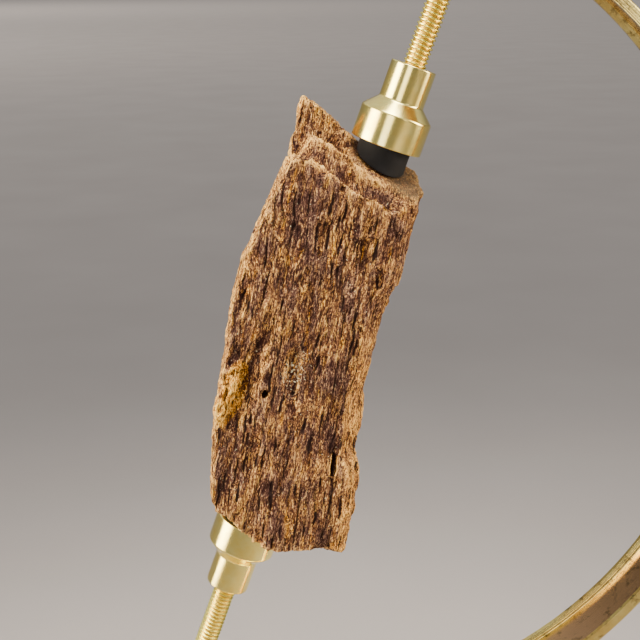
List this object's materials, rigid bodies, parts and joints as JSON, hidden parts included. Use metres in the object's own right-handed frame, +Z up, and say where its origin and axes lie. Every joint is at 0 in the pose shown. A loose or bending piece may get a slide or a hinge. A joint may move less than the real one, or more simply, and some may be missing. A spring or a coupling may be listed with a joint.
{
  "type": "fossil plesiosaur bone fragment on a clamp stand",
  "caption": "Brown fibrous fossil bone fragment held end to end between padded screw clamps in a tilted brass arc on a weighted round foot, for display.",
  "frame": {"origin": "centre of the felt's underside, on the surface that the stand rests on", "axes": "+Z up; +X towards the middle of the arc, the way the clamp axis leans at its top; -Y is the side that the bone's broad face looks to"},
  "size_m": [0.13, 0.1, 0.2322],
  "materials": {
    "fossil_bone": "rough fibrous mineralised bone, brown with tan and ochre ridges and near-black pits",
    "turned_brass": "bright turned brass with fine lathe lines",
    "threaded_brass": "die-cut brass thread",
    "rolled_brass": "polished rolled brass channel with fine drawn lines",
    "black_rubber": "matt black rubber",
    "green_felt": "dark green felt"
  },
  "bodies": {
    "stand": {"fossil_bone": "fossil_bone", "brass_arc": "rolled_brass", "upper_boss": "turned_brass", "lower_boss": "turned_brass", "stem": "turned_brass", "stem_bolt": "turned_brass", "base": "turned_brass", "felt_foot": "green_felt"},
    "upper_clamp": {"upper_ferrule": "turned_brass", "upper_pad": "black_rubber", "upper_clamp_screw": "threaded_brass", "upper_knob": "turned_brass"},
    "lower_clamp": {"lower_ferrule": "turned_brass", "lower_pad": "black_rubber", "lower_clamp_screw": "threaded_brass", "lower_knob": "turned_brass"}
  },
  "joints": [
    {"name": "upper_clamp_slide", "type": "slide", "parent": "stand", "child": "upper_clamp", "axis": [0.342, 0, 0.9397], "range_m": [0, 0.015]},
    {"name": "lower_clamp_slide", "type": "slide", "parent": "stand", "child": "lower_clamp", "axis": [-0.342, 0, -0.9397], "range_m": [0, 0.015]}
  ]
}
